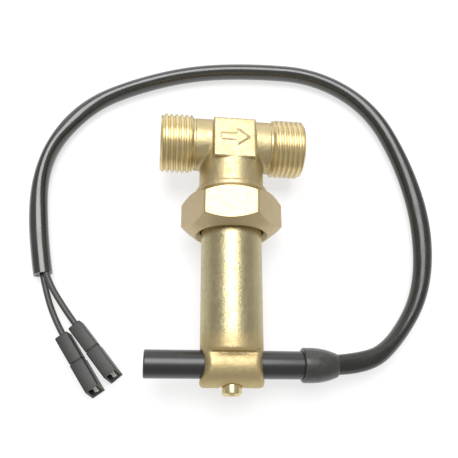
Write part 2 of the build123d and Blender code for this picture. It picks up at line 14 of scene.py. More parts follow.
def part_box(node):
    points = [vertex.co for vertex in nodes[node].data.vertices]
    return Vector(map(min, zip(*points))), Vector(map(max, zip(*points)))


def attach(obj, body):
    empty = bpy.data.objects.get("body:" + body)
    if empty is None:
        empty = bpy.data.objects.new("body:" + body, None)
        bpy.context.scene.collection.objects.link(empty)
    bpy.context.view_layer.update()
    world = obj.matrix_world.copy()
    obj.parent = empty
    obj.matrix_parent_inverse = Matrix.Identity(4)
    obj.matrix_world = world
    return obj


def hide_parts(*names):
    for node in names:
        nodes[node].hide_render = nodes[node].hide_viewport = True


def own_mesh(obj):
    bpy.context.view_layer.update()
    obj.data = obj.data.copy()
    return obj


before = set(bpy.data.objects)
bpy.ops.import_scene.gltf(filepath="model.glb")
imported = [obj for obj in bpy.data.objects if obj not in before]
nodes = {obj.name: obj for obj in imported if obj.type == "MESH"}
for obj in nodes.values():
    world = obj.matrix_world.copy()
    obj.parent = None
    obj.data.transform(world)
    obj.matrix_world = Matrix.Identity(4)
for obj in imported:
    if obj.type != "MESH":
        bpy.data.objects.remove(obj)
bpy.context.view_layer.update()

# %% [markdown]
# ## Camera
#
# The outlines in the photograph fit a camera that looks down on the bench from the side of the
# sensor, about 71 degrees above the horizon and 19 cm away, turned by about a degree about its own
# line of sight. Its focal length was found in pixels of the 458 pixel frame, so one line turns it
# into millimetres on a 36 mm sensor.

# %% The camera
FRAME_PIXELS = 458
FOCAL_PIXELS = 552.15
SENSOR_MM = 36.0
NEAREST_SEEN = 0.01
camera_place = Vector((-0.00214, -0.06628, 0.19742))
camera_target = Vector((-0.00081, -0.00462, 0.01535))
camera_roll = radians(1.2)

camera_data = bpy.data.cameras.new("camera")
camera_data.sensor_width = SENSOR_MM
camera_data.lens = FOCAL_PIXELS / FRAME_PIXELS * SENSOR_MM
camera_data.clip_start = NEAREST_SEEN
camera = bpy.data.objects.new("camera", camera_data)
look = camera_target - camera_place
aim = look.to_track_quat("-Z", "Y") @ Quaternion((0, 0, 1), camera_roll)
camera.rotation_euler = aim.to_euler()
camera.location = camera_place
bpy.context.scene.collection.objects.link(camera)
bpy.context.scene.camera = camera
print("camera", round(look.length * 1000), "mm away, lens", round(camera_data.lens, 1), "mm")

# %% [markdown]
# ## Sizes that several pieces share
#
# The spindle is the axis of the nut and the tube; it runs along Y, half a nut above the bench. The
# pipe run of the tee and the sensor rod lie across it. Both are turned about it by seven degrees,
# because the nut stopped there when it was tightened, so pieces on them are drawn along a plain X
# axis and then set in place by one matrix.

# %% Shared sizes and places
MM = 0.001
spindle_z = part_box("union_nut")[1].z / 2
run_y = 27.2 * MM
rod_y = -50.65 * MM
nut_stop_angle = radians(7.0)
run_turn = Matrix.Rotation(nut_stop_angle, 4, "Y")
run_place = Matrix.Translation((0, run_y, spindle_z)) @ run_turn
rod_place = Matrix.Translation((0, rod_y, spindle_z)) @ run_turn
spindle_centre = Vector((0, 0, spindle_z))
spindle_axis = Vector((0, 1, 0))
run_centre = Vector((0, run_y, spindle_z))
run_axis = run_turn @ Vector((1, 0, 0))
to_metres = Matrix.Scale(MM, 4)
print("spindle at", round(spindle_z / MM, 2), "mm above the bench")

# %% [markdown]
# ## Helpers for materials
#
# Colours are written as they look on a screen, and one function turns them into the linear values
# that the renderer mixes. A second one adds a node with its settings and whatever feeds it. Inputs
# that share a name, or have a long one, are given by their number: n6 and n7 are the two colours of
# a mix, n1 to n4 the old and the new range of a map range, n0 to n2 the terms of a sum.

# %% Colour and node helpers
def screen(code):
    """A screen colour such as c8b070 as linear red, green, blue and alpha."""
    values = [int(code[place:place + 2], 16) / 255 for place in (0, 2, 4)]
    return (*[v / 12.92 if v <= 0.04045 else ((v + 0.055) / 1.055) ** 2.4 for v in values], 1.0)


def add(tree, kind, settings=None, **feeds):
    """Adds one node. settings are its options; feeds are values or sockets for its inputs."""
    made = tree.nodes.new("ShaderNode" + kind)
    for name, value in (settings or {}).items():
        setattr(made, name, value)
    for name, value in feeds.items():
        key = name.replace("_", " ")
        by_number = key[0] == "n" and key[1:].isdigit()
        socket = made.inputs[int(key[1:])] if by_number else made.inputs[key]
        if isinstance(value, bpy.types.NodeSocket):
            tree.links.new(value, socket)
        else:
            socket.default_value = value
    return made


def new_material(name):
    """A material with one Principled shader. Returns the material, its tree and the shader."""
    material = bpy.data.materials.new(name)
    material.use_nodes = True
    return material, material.node_tree, material.node_tree.nodes["Principled BSDF"]


def per_mm(size):
    """Scale of a pattern, in metres, whose repeat is size millimetres."""
    return 1 / (size * MM)


print("a screen's mid grey is", round(screen("808080")[0], 3), "in linear light")

# %% [markdown]
# ## Cable and wires
#
# The cable is a soft black sleeve over two thin wires. It leaves the rubber boot in line with the
# sensor rod, comes down to the bench and lies once around the switch; the photograph shows it from
# end to end. Its route is the list of points that the CAD model uses, as the control points of a
# smooth NURBS curve.

# %% Route of the cable
cable_r = 3.2
rod_right = 27.0
cable_straight_end = 44.5


def rod_point(distance):
    """Point on the sensor rod's axis, in metres, at a distance in mm from the spindle."""
    return rod_place @ Vector((distance * MM, 0, 0))


cable_route = [rod_point(rod_right), rod_point(cable_straight_end)] + [
    Vector(point) * MM for point in (
        (57.2, -41.9, cable_r),
        (68.6, -24.0, cable_r),
        (71.6, 0.9, cable_r),
        (66.5, 26.6, cable_r),
        (56.0, 50.6, cable_r),
        (34.9, 65.3, cable_r),
        (10.3, 67.7, cable_r),
        (-14.0, 67.0, cable_r),
        (-36.7, 61.2, cable_r),
        (-58.4, 51.2, cable_r),
        (-71.4, 31.0, cable_r),
        (-73.4, 6.1, cable_r),
        (-67.9, -17.7, cable_r),
    )
]
cable_end = cable_route[-1]
end_heading = (cable_route[-1] - cable_route[-2]).normalized()
end_side = Vector((0, 0, 1)).cross(end_heading)
print("cable route of", len(cable_route), "control points")

# %% [markdown]
# A curve object turns control points into a smooth line. With a bevel it is a round wire; without
# one, the mesh made from it is a row of points, which gives the line's real length and the places of
# the sleeve's rings.

# %% Smooth lines
CURVE_ORDER = 3
CURVE_STEPS = 12
BEVEL_STEPS = 5


def route_curve(name, points, bevel=0.0):
    """A NURBS curve through the air with the given control points; bevel is its radius."""
    curve = bpy.data.curves.new(name, "CURVE")
    curve.dimensions = "3D"
    line = curve.splines.new("NURBS")
    line.points.add(len(points) - 1)
    for control, point in zip(line.points, points):
        control.co = (*point, 1.0)
    line.order_u = CURVE_ORDER
    line.use_endpoint_u = True
    line.resolution_u = CURVE_STEPS
    curve.bevel_depth = bevel
    curve.bevel_resolution = BEVEL_STEPS
    curve.use_fill_caps = bevel > 0
    curve.resolution_u = CURVE_STEPS
    return bpy.data.objects.new(name, curve)


def points_along(name, points):
    """Points read from the smooth curve itself, in order."""
    line = route_curve(name, points)
    mesh = bpy.data.meshes.new_from_object(line)
    found = [vertex.co.copy() for vertex in mesh.vertices]
    bpy.data.objects.remove(line)
    return found


def length_of(points):
    """Length of a row of points, in metres."""
    return sum((after - before).length for before, after in zip(points, points[1:]))


sleeve_line = points_along("sleeve_line", cable_route)
line_length = round(length_of(sleeve_line) / MM, 1)
print("cable line has", len(sleeve_line), "points,", line_length, "mm")

# %% [markdown]
# ## Finishes
#
# Brass appears in two states. The forgings were shot-blasted, which leaves a dull, finely pitted
# skin. The threads, the screw and the nut were turned, so they are brighter and carry fine rings
# around their axis. Every bare metal here starts from one recipe, a metallic surface whose tone and
# gloss wander slowly, as handling and tarnish leave them.

# %% Bare metal
tone_patch = 7.0
wear_patch = 1.6
# A noise seldom leaves the range between these two, so the gloss is spread over it.
noise_low = 0.3
noise_high = 0.7


def bare_metal(name, light, dark, rough_low, rough_high):
    """Bare metal: a tone and a gloss that wander slowly over the surface."""
    material, tree, shader = new_material(name)
    place = add(tree, "TexCoord").outputs["Object"]
    tone = add(tree, "TexNoise", Vector=place, Scale=per_mm(tone_patch), Detail=4.0)
    colour = add(
        tree, "Mix", {"data_type": "RGBA"}, Factor=tone.outputs["Fac"],
        n6=screen(dark), n7=screen(light),
    )
    tree.links.new(colour.outputs[2], shader.inputs["Base Color"])
    wear = add(tree, "TexNoise", Vector=place, Scale=per_mm(wear_patch), Detail=3.0)
    gloss = add(
        tree, "MapRange", Value=wear.outputs["Fac"],
        n1=noise_low, n2=noise_high, n3=rough_low, n4=rough_high,
    )
    tree.links.new(gloss.outputs["Result"], shader.inputs["Roughness"])
    shader.inputs["Metallic"].default_value = 1.0
    return material, tree, shader, place


# Stainless steel wire and ring: grey and fairly bright. Tinned sheet: paler and warmer.
steel_finish = bare_metal("stainless_steel", "c9c9c6", "b9b9b5", rough_low=0.24, rough_high=0.34)[0]
tin_finish = bare_metal("tinned_sheet", "dcdad0", "c8c5b8", rough_low=0.24, rough_high=0.36)[0]
print("bare metals", steel_finish.name, "and", tin_finish.name)

# %% [markdown]
# Blasting leaves pits of about a quarter of a millimetre, too fine for this camera, so they are
# drawn three times as wide. A slower swell under them is what the dies left. The closed tube is
# paler on its barrel, which is worked after forging, and yellower and duller on its forged eye.

# %% Blasted brass
pit_width = 0.8
pit_depth = 0.08
swell_width = 3.5
swell_depth = 0.1
barrel_end = -40.0
eye_start = -44.0
eye_dullness = 0.14


def blasted_brass(name, light, dark, rough_low, rough_high):
    """Forged brass after blasting: dull, with fine pits over a slow swell."""
    material, tree, shader, place = bare_metal(name, light, dark, rough_low, rough_high)
    pits = add(tree, "TexNoise", Vector=place, Scale=per_mm(pit_width), Detail=4.0)
    swell = add(tree, "TexNoise", Vector=place, Scale=per_mm(swell_width), Detail=2.0)
    soft = add(tree, "Bump", Height=swell.outputs["Fac"], Strength=0.5, Distance=swell_depth * MM)
    fine = add(
        tree, "Bump", Height=pits.outputs["Fac"], Strength=0.8, Distance=pit_depth * MM,
        Normal=soft.outputs["Normal"],
    )
    tree.links.new(fine.outputs["Normal"], shader.inputs["Normal"])
    return material, tree, shader, place


def tube_brass():
    """The closed tube: pale barrel, and an eye that is yellower and duller."""
    material, tree, shader, place = blasted_brass(
        "blasted_tube_brass", "c2b793", "afa37c", rough_low=0.3, rough_high=0.44
    )
    pale = shader.inputs["Base Color"].links[0].from_socket
    along = add(tree, "SeparateXYZ", Vector=place)
    eye = add(
        tree, "MapRange", Value=along.outputs["Y"],
        n1=barrel_end * MM, n2=eye_start * MM, n3=0.0, n4=1.0,
    )
    both = add(
        tree, "Mix", {"data_type": "RGBA"}, Factor=eye.outputs["Result"], n6=pale, n7=screen("c4b184")
    )
    tree.links.new(both.outputs[2], shader.inputs["Base Color"])
    gloss = shader.inputs["Roughness"].links[0].from_socket
    dull = add(
        tree, "Math", {"operation": "MULTIPLY_ADD"},
        n0=eye.outputs["Result"], n1=eye_dullness, n2=gloss,
    )
    tree.links.new(dull.outputs["Value"], shader.inputs["Roughness"])
    return material


# The tee as it left the blasting: sandy and dull.
forging_finish = blasted_brass(
    "blasted_brass", "cdbd95", "bcab80", rough_low=0.38, rough_high=0.54
)[0]
tube_finish = tube_brass()
print("blasted brass", forging_finish.name, "and", tube_finish.name)

# %% [markdown]
# A lathe tool leaves fine rings, all at their own distance from the axis it turned about. So the
# pattern is a noise in one dimension, and what it reads is that distance: the place is moved to the
# axis, turned upright, flattened, and its length taken.

# %% Turned brass
def turned_brass(name, light, dark, centre, axis, ring_mm, ring_depth, rough_low, rough_high):
    """Brass off a lathe: fine rings at equal distances from the axis of the piece."""
    material, tree, shader, place = bare_metal(name, light, dark, rough_low, rough_high)
    rotation = Vector((0, 0, 1)).rotation_difference(axis).inverted().to_euler()
    centred = add(tree, "VectorMath", {"operation": "SUBTRACT"}, n0=place, n1=centre)
    upright = add(
        tree, "VectorRotate", {"rotation_type": "EULER_XYZ"},
        Vector=centred.outputs["Vector"], Rotation=rotation,
    )
    flat = add(
        tree, "VectorMath", {"operation": "MULTIPLY"}, n0=upright.outputs["Vector"], n1=(1, 1, 0)
    )
    reach = add(tree, "VectorMath", {"operation": "LENGTH"}, n0=flat.outputs["Vector"])
    rings = add(
        tree, "TexNoise", {"noise_dimensions": "1D"}, W=reach.outputs["Value"],
        Scale=per_mm(ring_mm), Detail=3.0,
    )
    marks = add(
        tree, "Bump", Height=rings.outputs["Fac"], Strength=0.7, Distance=ring_depth * MM
    )
    tree.links.new(marks.outputs["Normal"], shader.inputs["Normal"])
    return material


# The nut is bar stock, turned and handled: satin, and a little greyer than the forgings.
nut_finish = turned_brass(
    "turned_nut_brass", "c4b28c", "b7a680", spindle_centre, spindle_axis,
    ring_mm=0.3, ring_depth=0.02, rough_low=0.36, rough_high=0.46,
)
# The threads are freshly cut: yellower and brighter, so that crests and roots flash.
thread_finish = turned_brass(
    "cut_thread_brass", "e4d5ab", "d9c799", run_centre, run_axis,
    ring_mm=0.5, ring_depth=0.004, rough_low=0.3, rough_high=0.38,
)
# The screw is machined all over: the brightest piece.
screw_finish = turned_brass(
    "turned_screw_brass", "e1d2a6", "d5c391", spindle_centre, spindle_axis,
    ring_mm=0.5, ring_depth=0.004, rough_low=0.16, rough_high=0.22,
)
print("turned brass", nut_finish.name, thread_finish.name, "and", screw_finish.name)

# %% [markdown]
# The plastics and rubbers share one recipe, a dark tone with a moulded grain, and differ in tone,
# grain and gloss: satin nylon, dull rubber, smooth resin. A thin coat over some of them is the shine
# that handling gives.

# %% Moulded polymers
def moulded(
    name, light, dark, grain_mm, grain_depth, rough_low, rough_high, coat=0.0, tone_mm=2.5
):
    """Moulded polymer: slightly uneven tone, the grain of the mould, and a handled shine."""
    material, tree, shader = new_material(name)
    place = add(tree, "TexCoord").outputs["Object"]
    tone = add(tree, "TexNoise", Vector=place, Scale=per_mm(tone_mm), Detail=4.0)
    colour = add(
        tree, "Mix", {"data_type": "RGBA"}, Factor=tone.outputs["Fac"],
        n6=screen(dark), n7=screen(light),
    )
    tree.links.new(colour.outputs[2], shader.inputs["Base Color"])
    grain = add(tree, "TexNoise", Vector=place, Scale=per_mm(grain_mm), Detail=2.0)
    bump = add(tree, "Bump", Height=grain.outputs["Fac"], Strength=0.6, Distance=grain_depth * MM)
    tree.links.new(bump.outputs["Normal"], shader.inputs["Normal"])
    gloss = add(
        tree, "MapRange", Value=grain.outputs["Fac"],
        n1=noise_low, n2=noise_high, n3=rough_low, n4=rough_high,
    )
    tree.links.new(gloss.outputs["Result"], shader.inputs["Roughness"])
    shader.inputs["Coat Weight"].default_value = coat
    shader.inputs["Coat Roughness"].default_value = 0.3
    return material


# Nylon of the rod: satin black, with a soft shine along it.
rod_finish = moulded(
    "rod_nylon", "1f1f1e", "171716",
    grain_mm=0.3, grain_depth=0.02, rough_low=0.26, rough_high=0.4, coat=0.5,
)
# Rubber of the boot: scuffed, so its tone is blotchy and its shine is broken.
boot_finish = moulded(
    "boot_rubber", "3c3c39", "040404",
    grain_mm=0.8, grain_depth=0.2, rough_low=0.3, rough_high=0.6, coat=0.7, tone_mm=1.2,
)
# Vinyl of the thin wires: even and satin, a little greyer than the sleeve.
wire_finish = moulded(
    "wire_vinyl", "464644", "393937", grain_mm=0.6, grain_depth=0.01, rough_low=0.34, rough_high=0.44
)
# Nylon of the connectors: dull black from a sparked mould.
connector_finish = moulded(
    "connector_nylon", "343432", "292928",
    grain_mm=0.35, grain_depth=0.02, rough_low=0.38, rough_high=0.5,
)
print("black polymers", rod_finish.name, boot_finish.name, wire_finish.name, connector_finish.name)

# %% [markdown]
# The seals, the guide, the magnet and the capsule lie inside, where no view from outside shows them.
# They get the finish of the real stuff all the same, for whoever takes the switch apart: dull
# nitrile rubber, milky acetal, smooth dark resin, matt sintered ferrite, clear glass.

# %% Finishes of the inner pieces
seal_finish = moulded(
    "seal_rubber", "2b2b2a", "232322", grain_mm=0.4, grain_depth=0.02, rough_low=0.55, rough_high=0.7
)
acetal_finish = moulded(
    "natural_acetal", "e8e4da", "dcd8cc",
    grain_mm=0.4, grain_depth=0.01, rough_low=0.34, rough_high=0.44,
)
resin_finish = moulded(
    "casting_resin", "2f2f34", "26262a", grain_mm=0.8, grain_depth=0.01, rough_low=0.2, rough_high=0.3
)
ferrite_finish = moulded(
    "sintered_ferrite", "3a3a3d", "2b2b2e",
    grain_mm=0.2, grain_depth=0.02, rough_low=0.5, rough_high=0.65,
)


def clear_glass():
    """Glass of the capsule, drawn smooth: clear, with a hint of green."""
    material, _, shader = new_material("reed_glass")
    shader.inputs["Base Color"].default_value = screen("e6f4ec")
    shader.inputs["Roughness"].default_value = 0.03
    shader.inputs["Transmission Weight"].default_value = 1.0
    return material


glass_finish = clear_glass()
print("inner finishes", seal_finish.name, acetal_finish.name, resin_finish.name,
      ferrite_finish.name, glass_finish.name)

# %% [markdown]
# The sleeve is soft vinyl tubing, black and shiny, duller where it was handled near the boot. It
# reads an attribute that its mesh carries, the place on the sleeve as if it lay straight, so that
# the faint lengthwise ridges of its drawing follow every bend.

# %% Sleeve vinyl
ridge_width = 1.8
ridge_stretch = 0.12
ridge_depth = 0.25
sleeve_patch = 5.0
dull_until = 50
shiny_from = 170


def sleeve_vinyl():
    """Soft vinyl tubing: shiny, duller near the boot, with faint lengthwise ridges."""
    material, tree, shader = new_material("sleeve_vinyl")
    place = add(tree, "Attribute", {"attribute_name": "straight"}).outputs["Vector"]
    long_place = add(
        tree, "VectorMath", {"operation": "MULTIPLY"}, n0=place, n1=(1, 1, ridge_stretch)
    )
    ridges = add(
        tree, "TexNoise", Vector=long_place.outputs["Vector"], Scale=per_mm(ridge_width), Detail=2.0
    )
    bump = add(tree, "Bump", Height=ridges.outputs["Fac"], Strength=0.5, Distance=ridge_depth * MM)
    tree.links.new(bump.outputs["Normal"], shader.inputs["Normal"])
    tone = add(tree, "TexNoise", Vector=place, Scale=per_mm(sleeve_patch), Detail=3.0)
    colour = add(
        tree, "Mix", {"data_type": "RGBA"}, Factor=tone.outputs["Fac"],
        n6=screen("1b1b18"), n7=screen("262622"),
    )
    tree.links.new(colour.outputs[2], shader.inputs["Base Color"])
    gloss = add(
        tree, "MapRange", Value=tone.outputs["Fac"], n1=noise_low, n2=noise_high, n3=0.2, n4=0.34
    )
    tree.links.new(gloss.outputs["Result"], shader.inputs["Roughness"])
    along = add(tree, "SeparateXYZ", Vector=place)
    for quality, at_boot, further_on in (("Coat Weight", 0.1, 1.0), ("Coat Roughness", 0.4, 0.15)):
        shine = add(
            tree, "MapRange", Value=along.outputs["Z"],
            n1=dull_until * MM, n2=shiny_from * MM, n3=at_boot, n4=further_on,
        )
        tree.links.new(shine.outputs["Result"], shader.inputs[quality])
    return material


sleeve_finish = sleeve_vinyl()
print("sleeve", sleeve_finish.name, "with", len(sleeve_finish.node_tree.nodes), "nodes")

# %% [markdown]
# Every CAD node gets its finish, also the inner ones that no piece below replaces. A node without
# one would keep the plain colour of the CAD model.

# %% Give the CAD nodes their finishes
finishes = {
    "tee_body": forging_finish, "valve_seat": screw_finish, "union_nut": nut_finish,
    "union_gasket": seal_finish, "lower_housing": tube_finish, "guide_bush": acetal_finish,
    "guide_ring": steel_finish, "shutter_disc": screw_finish, "shutter_seal": seal_finish,
    "shutter_stem": steel_finish, "magnet_carrier": acetal_finish, "magnet": ferrite_finish,
    "magnet_cap": acetal_finish, "return_spring": steel_finish, "clamp_screw": screw_finish,
    "sensor_housing": rod_finish, "sensor_plug": resin_finish, "reed_glass": glass_finish,
    "reed_lead_fixed": tin_finish, "reed_lead_out": tin_finish, "reed_blade": tin_finish,
    "sensor_boot": boot_finish, "cable_sleeve": sleeve_finish, "wire_a": wire_finish,
    "wire_b": wire_finish, "connector_a": connector_finish, "connector_b": connector_finish,
    "terminal_a": tin_finish, "terminal_b": tin_finish,
}
for name, finish in finishes.items():
    for place in nodes[name].material_slots:
        place.material = finish
print("finishes for", len(finishes), "nodes")

# %% [markdown]
# ## Two helpers for pieces
#
# A piece starts as a bmesh, either drawn from nothing or copied from a CAD node. When it is done, it
# becomes a mesh with smooth shading and sharp edges where its faces meet steeply, and rides on a
# body.

# %% Copy a solid, add a piece
WELD_DISTANCE = 0.002 * MM


def solid_copy(node):
    """A copy of a node's mesh, its doubles merged."""
    shape = bmesh.new()
    shape.from_mesh(nodes[node].data)
    bmesh.ops.remove_doubles(shape, verts=shape.verts, dist=WELD_DISTANCE)
    return shape


def add_piece(shape, name, material, body, node=None, smooth_angle=35):
    """Put a finished shape, in metres and in place, into the scene as a piece of its body."""
    bmesh.ops.recalc_face_normals(shape, faces=shape.faces)
    mesh = bpy.data.meshes.new(name)
    shape.to_mesh(mesh)
    shape.free()
    mesh.materials.append(material)
    mesh.shade_smooth()
    mesh.set_sharp_from_angle(angle=radians(smooth_angle))
    piece = bpy.data.objects.new(name, mesh)
    bpy.context.scene.collection.objects.link(piece)
    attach(piece, body)
    if node:
        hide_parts(node)
    return piece


print("doubles closer than", WELD_DISTANCE / MM, "mm are merged")

# %% [markdown]
# ## The sleeve
#
# The real sleeve is loose on its wires, so it is not quite round: in the photograph its width swells
# and shrinks between 5.3 and 7.0 mm along its length. A curve with a round bevel couldn't do that,
# so rings are placed along the smooth line and bridged into a tube, each ring as wide as the
# photograph shows it there and lowered until it touches the bench.

# %% Rings of the sleeve
RING_SIDES = 28
# Places along the sleeve in mm, each with half of its width there.
half_widths = (
    (0, 3.2), (14, 3.35), (34, 2.65), (80, 3.5), (118, 3.15), (150, 2.95), (232, 2.95), (256, 3.35),
    (276, 2.8), (304, 3.5), (330, 3.4),
)


def half_width_at(distance):
    """Half of the sleeve's width, at a distance along it, eased between the places seen."""
    for (low, before), (high, after) in zip(half_widths, half_widths[1:]):
        if distance <= high:
            share = (distance - low) / (high - low)
            return before + (after - before) * (1 - cos(pi * share)) / 2
    return after


def place_ring(shape, layer, here, heading, distance, inset=0.0):
    """One ring, square to the line, with its place on the straightened sleeve written down."""
    half_width = half_width_at(distance)
    half_height = 2 * cable_r - half_width
    side = heading.cross(Vector((0, 0, 1))).normalized()
    up = side.cross(heading)
    centre = here - Vector((0, 0, (cable_r - half_height) * MM))
    turn = Matrix((side, up, heading)).transposed().to_4x4()
    size = Matrix.Diagonal(((half_width - inset) * MM, (half_height - inset) * MM, 1, 1))
    ring = bmesh.ops.create_circle(
        shape, segments=RING_SIDES, radius=1, matrix=Matrix.Translation(centre) @ turn @ size
    )
    for vert in ring["verts"]:
        offset = vert.co - centre
        vert[layer] = Vector((offset.dot(side), offset.dot(up), distance * MM))
    return {edge for vert in ring["verts"] for edge in vert.link_edges}


widths = [2 * half_width_at(distance) for distance in range(round(line_length))]
print("sleeve", round(min(widths), 1), "to", round(max(widths), 1), "mm wide")

# %% [markdown]
# At its cut end the tube turns inwards, because one can look into it: the same rings run back for
# ten millimetres, each smaller by the thickness of the wall. The start of the tube and the bottom of
# its bore are closed.

# %% Make the sleeve
sleeve_wall = 0.7
mouth_depth = 10.0


def make_sleeve(line):
    """Bridge the rings along a line into the sleeve. Returns it and its length in mm."""
    shape = bmesh.new()
    layer = shape.verts.layers.float_vector.new("straight")
    headings = [(after - before).normalized() for before, after in zip(line, line[1:])]
    headings.append(headings[-1])
    distances = [0.0]
    for before, after in zip(line, line[1:]):
        distances.append(distances[-1] + (after - before).length / MM)
    length = distances[-1]
    outside = list(zip(line, headings, distances))
    bore = [step for step in reversed(outside) if step[2] > length - mouth_depth]
    rings = [place_ring(shape, layer, *step) for step in outside]
    rings += [place_ring(shape, layer, *step, inset=sleeve_wall) for step in bore]
    for before, after in zip(rings, rings[1:]):
        bmesh.ops.bridge_loops(shape, edges=list(before | after))
    bmesh.ops.holes_fill(shape, edges=list(rings[0] | rings[-1]))
    piece = add_piece(shape, "sleeve", sleeve_finish, "sensor", "cable_sleeve", smooth_angle=60)
    return piece, length


sleeve, sleeve_length = make_sleeve(sleeve_line)
print("sleeve", round(sleeve_length, 1), "mm long,", len(sleeve.data.polygons), "faces")

# %% [markdown]
# ## The wires
#
# Two thin wires come out of the cut end, one a little above the other, and go to the two connectors.
# They start at the bottom of the sleeve's bore and end a little way inside the connectors, and the
# third point of each route lets it come straight into its connector.

# %% Routes of the wires
wire_r = 1.1
wire_mouth_offset = 0.7 * MM
wire_lift = Vector((0, 0, 0.95)) * MM
wire_start = cable_end - end_heading * mouth_depth * MM
lead_in = 7.0 * MM
inside = 3.0 * MM
connector_height = 7.4
rear_a = Vector((-58.3, -39.75, connector_height / 2)) * MM
heading_a = Vector((0.564, -0.826, 0)).normalized()
rear_b = Vector((-54.2, -36.1, connector_height / 2)) * MM
heading_b = Vector((0.641, -0.768, 0)).normalized()
wire_a_route = [
    wire_start - end_side * wire_mouth_offset - wire_lift,
    Vector((-68.0, -19.0, 2.3)) * MM,
    rear_a - heading_a * lead_in,
    rear_a + heading_a * inside,
]
wire_b_route = [
    wire_start + end_side * wire_mouth_offset + wire_lift,
    Vector((-66.9, -18.2, 4.2)) * MM,
    rear_b - heading_b * lead_in,
    rear_b + heading_b * inside,
]
print("connectors start", round((rear_a - rear_b).length / MM, 1), "mm apart")

# %% [markdown]
# A round curve with a bevel is all that a wire needs. Its length is measured on the smooth line. The
# sleeve leaves the boot and ends bare.

# %% Make the wires
def make_wire(name, node, points):
    """A round wire along its route."""
    wire = route_curve(name, points, bevel=wire_r * MM)
    bpy.context.scene.collection.objects.link(wire)
    wire.data.materials.append(wire_finish)
    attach(wire, "sensor")
    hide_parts(node)
    return wire


wire_a = make_wire("wire_a_insulation", "wire_a", wire_a_route)
wire_b = make_wire("wire_b_insulation", "wire_b", wire_b_route)
wire_a_length = length_of(points_along("wire_a_line", wire_a_route))
wire_b_length = length_of(points_along("wire_b_line", wire_b_route))
[tuple(point) for point in sleeve_line]
print("wires", round(wire_a_length / MM, 1), "and", round(wire_b_length / MM, 1), "mm")

# %% [markdown]
# ## The tee
#
# The tee is a hot forging: its edges are rounded by the dies, its corners run into each other, and
# the skin is blasted. The CAD solid has the right sizes but sharp edges. A copy of it is cut at the
# two relief grooves, where the turned pipe ends begin, and wrapped in a fine even skin that is then
# smoothed, which rounds every edge a little and blends the raised arrow into its pad, as forging
# dies do.

# %% Cut and forge
CUT_TOLERANCE = 1e-7


def cut_off(shape, place, normal, add_on):
    """Drop what lies beyond a plane, draw the cut's two rims out a little and join them."""
    everything = [*shape.verts, *shape.edges, *shape.faces]
    bmesh.ops.bisect_plane(
        shape, geom=everything, dist=CUT_TOLERANCE, plane_co=place, plane_no=normal, clear_outer=True
    )
    rims = [edge for edge in shape.edges if edge.is_boundary]
    rim_verts = list({vert for edge in rims for vert in edge.verts})
    bmesh.ops.translate(shape, vec=normal * add_on, verts=rim_verts)
    bmesh.ops.bridge_loops(shape, edges=rims)


def forge(piece, skin_mm, passes):
    """Even skin over the piece, then smoothing, which rounds its edges as forging does."""
    skin = piece.modifiers.new("skin", "REMESH")
    skin.mode = "VOXEL"
    skin.voxel_size = skin_mm * MM
    skin.use_smooth_shade = True
    soft = piece.modifiers.new("soft", "SMOOTH")
    soft.factor = 0.5
    soft.iterations = passes


print("cuts are made to", CUT_TOLERANCE, "m")

# %% [markdown]
# The cuts lie where the forging ends, and their rims are drawn out nearly to the thread. What is
# left of the relief groove is the thin dark line that the photograph shows there.

# %% Make the tee
forged_end = 12.8
groove_start = 13.5
tee_shape = solid_copy("tee_body")
for side in (1, -1):
    end = run_centre + run_axis * side * forged_end * MM
    cut_off(tee_shape, end, run_axis * side, (groove_start - forged_end) * MM)
open_edges = sum(edge.is_boundary for edge in tee_shape.edges)
tee = add_piece(tee_shape, "forged_tee", forging_finish, "tee", "tee_body")
forge(tee, skin_mm=0.3, passes=3)
print("tee", len(tee.data.polygons), "faces before its skin,", open_edges, "open edges")

# %% [markdown]
# ## The two pipe ends
#
# The pipe ends are cut on a lathe. Their thread is the one that the photograph gave the object's
# size by: 20.955 mm across, 1.814 mm from crest to crest, flanks of 55 degrees, round roots. Its
# crests are flat there, as where a thread is cut in a bar just under full size, so the grooves are
# 0.8 mm deep. The next cell draws one pitch of that outline, from root to root.

# %% Outline of the thread
thread_r = 20.955 / 2
thread_pitch = 1.814
thread_depth = 0.8
root_round = 0.1373 * thread_pitch
crest_round = 0.08
# A flank leans by half of the 55 degrees, so a rounding turns by what is left of a right angle.
flank_turn = radians(62.5)


def thread_outline():
    """One pitch of the thread, from root to root: distance along, and radius, in mm."""
    root_r = thread_r - thread_depth
    root = [
        (root_round * sin(turn), root_r + root_round * (1 - cos(turn)))
        for turn in (0, flank_turn / 2, flank_turn)
    ]
    crest_start = thread_r - crest_round * (1 - cos(flank_turn))
    along = root[-1][0] + (crest_start - root[-1][1]) / tan(flank_turn)
    crest = [
        (along, crest_start),
        (along + crest_round * sin(flank_turn), thread_r),
        (thread_pitch / 2, thread_r),
    ]
    rise = root + crest
    fall = [(thread_pitch - along, radius) for along, radius in reversed(rise[:-1])]
    return rise + fall


print("one pitch has", len(thread_outline()), "points")

# %% [markdown]
# The outline is spun round the axis and pushed along it at once, which gives the whole thread in one
# surface. It is cut square at both ends, and its first and last turns are turned down to a cone. All
# of it is drawn in mm about the Z axis, with the spindle at zero.

# %% Turn the thread
run_half = 25.7
thread_start = 14.0
first_root = 10.872
spare_turns = 2
end_chamfer = 0.8
TURN_STEPS = 96
TURN_WELD = 0.001
TURN_CUT_TOLERANCE = 1e-4


